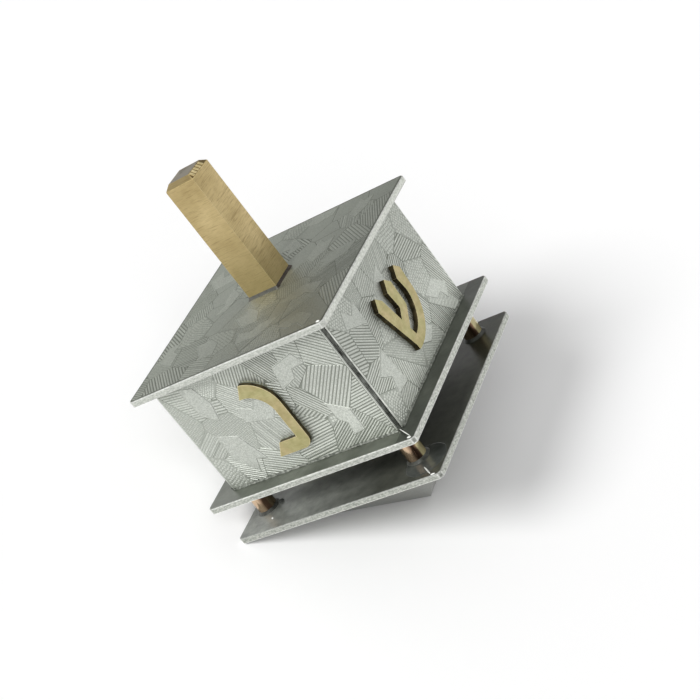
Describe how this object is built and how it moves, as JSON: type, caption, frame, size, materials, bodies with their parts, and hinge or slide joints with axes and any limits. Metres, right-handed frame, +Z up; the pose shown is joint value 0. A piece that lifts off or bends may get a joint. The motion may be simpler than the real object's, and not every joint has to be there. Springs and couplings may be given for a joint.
{
  "type": "dreidel",
  "caption": "Square metal spinning top with a straight square handle, a box with a raised letter on each side, and a four-sided point.",
  "frame": {"origin": "the tip of the four-sided point, where the spinning axis leaves the object", "axes": "+Z up the spinning axis from the tip to the handle, +X out of the wall with the shin, -Y out of the wall with the nun"},
  "size_m": [0.0464, 0.0464, 0.076],
  "materials": {
    "brass_bar": "brushed square bar with fine cross scratches, darker towards its foot",
    "brass_sheet": "satin sheet with dark cut edges",
    "embossed_sheet": "silver-grey sheet with a patchwork of fine raised textures",
    "plain_sheet": "smooth grey sheet with a satin, speckled rim",
    "polished_sheet": "dark, nearly mirror polish",
    "copper_rod": "polished copper with brown tarnish",
    "solder": "dull grey solder"
  },
  "bodies": {
    "root": {"handle": "brass_bar", "top_plate": "embossed_sheet", "wall_nun": "embossed_sheet", "wall_shin": "embossed_sheet", "wall_he": "embossed_sheet", "wall_gimel": "embossed_sheet", "letter_nun": "brass_sheet", "letter_shin": "brass_sheet", "letter_he": "brass_sheet", "letter_gimel": "brass_sheet", "middle_plate": "plain_sheet", "post_front": "copper_rod", "post_right": "copper_rod", "post_back": "copper_rod", "post_left": "copper_rod", "lower_plate": "polished_sheet", "point_front_left": "polished_sheet", "point_front_right": "polished_sheet", "point_back_right": "polished_sheet", "point_back_left": "polished_sheet", "seam_solder": "solder", "post_solder": "solder", "handle_solder": "solder"}
  },
  "joints": []
}
